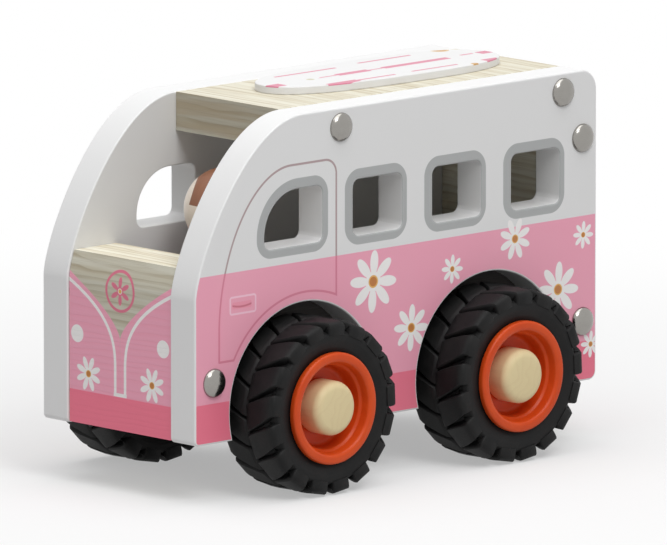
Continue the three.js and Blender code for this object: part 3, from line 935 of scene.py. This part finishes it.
def nailTree():
    inputs = {"Places": "Geometry", "Head Radius": "Float", "Head Height": "Float", "Metal": "Material"}
    grow = Grower(newTree("domeNails", inputs))
    given = grow.node("NodeGroupInput", out="Places")
    ball = grow.node("GeometryNodeMeshUVSphere", {}, {"Segments": 40, "Rings": 28, "Radius": 1.0})
    x = grow.node("ShaderNodeSeparateXYZ", {}, {0: grow.node("GeometryNodeInputPosition")})
    radius = given.twin("Head Radius")
    rise = x.twin("Z").most(0.0) * given.twin("Head Height")
    dome = grow.node("ShaderNodeCombineXYZ", {}, {0: x * radius, 1: x.twin("Y") * radius, 2: rise})
    head = grow.node("GeometryNodeSetPosition", {}, {"Geometry": ball, "Position": dome})
    across = grow.node("ShaderNodeSeparateXYZ", {}, {0: grow.node("GeometryNodeInputPosition")}, out="Y")
    tilt = grow.node("ShaderNodeCombineXYZ", {}, {0: across.math("SIGN") * (-pi / 2)})
    spots = grow.node("GeometryNodeMeshToPoints", {}, {"Mesh": given})
    heads = grow.node("GeometryNodeInstanceOnPoints", {}, {"Points": spots, "Instance": head, "Rotation": tilt})
    return grow.realised(heads, given.twin("Metal"))


def lugTree():
    inputs = {"Lug": "Geometry", "Count": "Int", "Axle": "Vector", "Rubber": "Material"}
    grow = Grower(newTree("treadLugs", inputs))
    given = grow.node("NodeGroupInput", out="Lug")
    count = given.twin("Count")
    spots = grow.node("GeometryNodePoints", {}, {"Count": count, "Position": given.twin("Axle")})
    turn = grow.node("GeometryNodeInputIndex") * (2 * pi) / count
    rotation = grow.node("ShaderNodeCombineXYZ", {}, {1: turn})
    lugs = grow.node("GeometryNodeInstanceOnPoints", {}, {"Points": spots, "Instance": given, "Rotation": rotation})
    return grow.realised(lugs, given.twin("Rubber"))


def grown(name, seed, tree, values):
    holder = bpy.data.objects.new(name, seed)
    bpy.context.scene.collection.objects.link(holder)
    nodes = holder.modifiers.new(name, "NODES")
    nodes.node_group = tree
    for item in tree.interface.items_tree:
        if item.in_out == "INPUT" and item.name in values:
            nodes[item.identifier] = values[item.name]
    mesh = finalMesh(holder)
    mesh.name = name
    holder.modifiers.remove(nodes)
    bpy.data.objects.remove(holder)
    return mesh


# domed nails
nails = {
    "radius": 4.5, "height": 2.2, "face": 34.0, "sharp": 50,
    "places": {
        "roof_front": (24.0, 110.2), "roof_rear": (-70.4, 110.2),
        "rear_upper": (-78.9, 95.0), "rear_lower": (-78.9, 37.5), "front": (77.1, 37.5),
    },
}


def makeNails():
    places, face = nails["places"], nails["face"]
    spots = [(x * mm, side * face * mm, z * mm) for side in sides.values() for x, z in places.values()]
    seed = bpy.data.meshes.new("nailPlaces")
    seed.from_pydata(spots, [], [])
    values = {"Head Radius": nails["radius"] * mm, "Head Height": nails["height"] * mm, "Metal": finishes["nail"]}
    mesh = grown("domeNails", seed, nailTree(), values)
    settle(mesh, [finishes["nail"]], nails["sharp"])
    replaced = [f"dome_nail_{name}_{spot}" for name in sides for spot in places]
    place("domeNails", mesh, "body", "bright_nail", replaced)


makeNails()
print("nails made")


# wheels: along is measured outwards from the tyre's middle plane
wheels = {
    "axles": {"front": 40.5, "rear": -39.1}, "axleZ": 27.0, "offset": 37.3,
    "lugs": 17, "lugShare": 0.76, "sweep": 5.4, "tyreRadius": 27.0, "tyreHalf": 11.5,
    "lugPath": [  # across, radius, tilt of the lug's top, half width
        (-0.4, 26.0, 0, 4.0), (0.3, 26.65, 0, 4.35), (1.4, 26.92, 0, 4.45), (4.0, 26.98, 0, 4.35),
        (7.2, 26.95, 3, 4.0), (9.3, 26.8, 10, 3.6), (10.6, 26.4, 32, 3.35), (11.15, 25.7, 62, 3.3),
        (11.3, 24.6, 84, 3.25), (11.2, 22.6, 90, 3.1),
    ],
    "lugSection": [  # out from the lug's side, down from its top
        (-0.5, -3.3), (-0.2, -0.9), (0.06, -0.22), (0.36, 0.0),
    ],
    "carcassHalf": [
        (24.6, 6, 2), (23.7, 9.6, 1.2), (22.9, 11.0, 0.8), (21.0, 10.8, 2),
        (18.6, 10.1, 1.5), (17.4, 9.6, 0.5), (16.3, 9.2, 0),
    ],
    "rim": [
        (5.05, -14.0, 0), (8, -14.0, 0.6), (8, 0.6, 0.8), (13.5, 0.6, 1.0), (13.5, -9.2, 0.5), (16, -9.2, 0.5),
        (16, 9.7, 0.1), (17.3, 9.7, 0.4), (17.3, 12.0, 0.9), (14.3, 12.0, 1.3), (13.75, 9.0, 0.9), (12.95, 8.2, 0.8),
        (12.5, 3.6, 1.6), (5.05, 3.6, 0),
    ],
    "peg": [
        (0, -31.3, 0), (4.75, -31.3, 0.6), (4.75, 3.9, 0), (8.4, 3.9, 0.4), (8.4, 12.5, 2.5),
        (2.5, 12.7, 2), (0, 12.7, 0),
    ],
}


def lugMesh():  # one lug of each half, half a pitch apart
    pitch = 2 * pi / wheels["lugs"]
    lugHalf = wheels["lugShare"] * pitch / 2
    sweep = wheels["sweep"] / wheels["tyreRadius"]
    work = bmesh.new()
    for half, shift in ((1, 0.5), (-1, 0.0)):
        sections = []
        for across, radius, tilt, width in wheels["lugPath"]:
            middle = pi + lugHalf - sweep + sweep * (1 - across / wheels["tyreHalf"]) + shift * pitch
            leftSide = [(-width + out, down) for out, down in wheels["lugSection"]]
            outline = leftSide + [(-a, down) for a, down in reversed(leftSide)]
            ring = []
            for a, down in outline:
                r = radius + down * cos(radians(tilt))
                b = across + down * sin(radians(tilt))
                turn = middle + a / radius
                ring.append(work.verts.new((r * sin(turn) * mm, half * b * mm, r * cos(turn) * mm)))
            sections.append(ring)
        for lower, upper in zip(sections, sections[1:]):
            for i in range(len(lower)):
                j = (i + 1) % len(lower)
                work.faces.new((lower[i], lower[j], upper[j], upper[i]))
        work.faces.new(sections[0])
        work.faces.new(list(reversed(sections[-1])))
    bmesh.ops.recalc_face_normals(work, faces=work.faces)
    mesh = bpy.data.meshes.new("treadLug")
    work.to_mesh(mesh)
    work.free()
    return mesh


def joined(name, meshes):
    work = bmesh.new()
    for mesh in meshes:
        work.from_mesh(mesh)
    whole = bpy.data.meshes.new(name)
    work.to_mesh(whole)
    work.free()
    return whole


def makeWheels():
    tread = lugTree()
    half = wheels["carcassHalf"]
    section = [(radius, -along, rounding) for radius, along, rounding in reversed(half)] + half
    for axle, x in wheels["axles"].items():
        for name, side in sides.items():
            label, spinning, axis = f"{axle}{name.title()}", f"wheel_{axle}_{name}", axes[name]
            centre = (x, side * wheels["offset"], wheels["axleZ"])
            values = {"Count": wheels["lugs"], "Axle": Vector(centre) * mm, "Rubber": finishes["rubber"]}
            lugs = grown("treadLugs", lugMesh(), tread, values)
            carcass = turned("tyreCarcass", filleted(section, 5), centre, axis, 120)
            tyre = settle(joined(f"{label}Tyre", [carcass, lugs]), [finishes["rubber"]], 38)
            place(f"{label}Tyre", tyre, spinning, "tyre_rubber", [f"tyre_{axle}_{name}"])
            rim = turned(f"{label}Rim", filleted(wheels["rim"], 6), centre, axis, 96)
            settle(rim, [finishes["orange"]], 40)
            place(f"{label}Rim", rim, spinning, "rim_plastic", [f"rim_{axle}_{name}"])
            peg = turned(f"{label}Peg", filleted(wheels["peg"], 8), centre, axis, 72)
            settle(peg, [finishes["peg"]], 40)
            place(f"{label}Peg", peg, "body", "peg_wood", [f"axle_peg_{axle}_{name}"])


makeWheels()
print("wheels made")


# camera, light and floor
studio = {
    "azimuth": 136.5, "elevation": 9.93, "aim": (-5.2, 0.0, 57.37), "frameWidth": 205.23,
    "lens": 1000.0, "sensor": 36.0, "clip": (0.1, 20.0),
    "worldLevel": 0.34,
    "lamps": {
        "topLamp": {"at": (0.10, 0.10, 1.40), "size": 1.5, "watts": 14.0},
        "keyLamp": {"at": (0.30, 0.93, 1.05), "size": 0.55, "watts": 5.7},
    },
    "lampAim": (0, 0, 0.06),
    "floorSize": 6.0,
    "floorShade": 0.86,
    "floorBounce": 0.55,
    "floorFade": {"near": 90.0, "far": 420.0, "rise": 0.6, "least": 0.4},
}


def grey(level):
    return (level, level, level, 1)


def makeCamera(scene):
    turn, lift = radians(studio["azimuth"]), radians(studio["elevation"])
    back = Vector((sin(turn) * cos(lift), -cos(turn) * cos(lift), sin(lift)))
    lens = bpy.data.cameras.new("photoCamera")
    lens.lens = studio["lens"]
    lens.sensor_width = studio["sensor"]
    distance = studio["lens"] * studio["frameWidth"] * mm / studio["sensor"]
    lens.clip_start, lens.clip_end = studio["clip"]
    camera = bpy.data.objects.new("photoCamera", lens)
    camera.location = Vector(studio["aim"]) * mm + back * distance
    camera.rotation_mode = "QUATERNION"
    camera.rotation_quaternion = (-back).to_track_quat("-Z", "Y")
    scene.collection.objects.link(camera)
    scene.camera = camera


def makeLamps(scene):
    for name, lamp in studio["lamps"].items():
        light = bpy.data.lights.new(name, "AREA")
        light.size = lamp["size"]
        light.energy = lamp["watts"]
        holder = bpy.data.objects.new(name, light)
        holder.location = lamp["at"]
        beam = Vector(studio["lampAim"]) - holder.location
        holder.rotation_euler = beam.to_track_quat("-Z", "Y").to_euler()
        scene.collection.objects.link(holder)


def makeWorld(scene):  # white where it is seen, dimmer as light
    world = bpy.data.worlds.new("paleRoom")
    scene.world = world
    world.use_nodes = True
    world.node_tree.nodes.clear()
    grow = Grower(world.node_tree)
    dim = grow.node("ShaderNodeBackground", {}, {"Color": grey(1), "Strength": studio["worldLevel"]})
    white = grow.node("ShaderNodeBackground", {}, {"Color": grey(1), "Strength": 1.0})
    shown = grow.node("ShaderNodeMixShader", {}, {0: grow.seenDirectly(), 1: dim, 2: white})
    grow.node("ShaderNodeOutputWorld", {}, {"Surface": shown})


def makeFloor(scene):  # takes soft shadows and fades to white
    half, fade = studio["floorSize"] / 2, studio["floorFade"]
    mesh = bpy.data.meshes.new("paleFloor")
    mesh.from_pydata([(-half, -half, 0), (half, -half, 0), (half, half, 0), (-half, half, 0)], [], [(0, 1, 2, 3)])
    finish = Finish("paleFloor")
    bounce = finish.node("ShaderNodeBsdfDiffuse", {}, {"Color": grey(studio["floorBounce"])})
    matte = finish.node("ShaderNodeBsdfDiffuse", {}, {"Color": grey(studio["floorShade"])})
    glow = finish.node("ShaderNodeEmission", {}, {"Color": grey(1), "Strength": 1.0})
    away = (finish.x * finish.x + finish.y * finish.y) ** 0.5
    whiter = finish.spread(away, fade["near"], fade["far"]) * fade["rise"] + fade["least"]
    pale = finish.node("ShaderNodeMixShader", {}, {0: whiter, 1: matte, 2: glow})
    shown = finish.node("ShaderNodeMixShader", {}, {0: finish.seenDirectly(), 1: bounce, 2: pale})
    finish.node("ShaderNodeOutputMaterial", {}, {"Surface": shown})
    mesh.materials.append(finish.material)
    floor = bpy.data.objects.new("paleFloor", mesh)
    scene.collection.objects.link(floor)


bpy.context.scene.view_settings.view_transform = "Standard"
for makeStage in (makeCamera, makeLamps, makeWorld, makeFloor):
    makeStage(bpy.context.scene)
print("studio set")
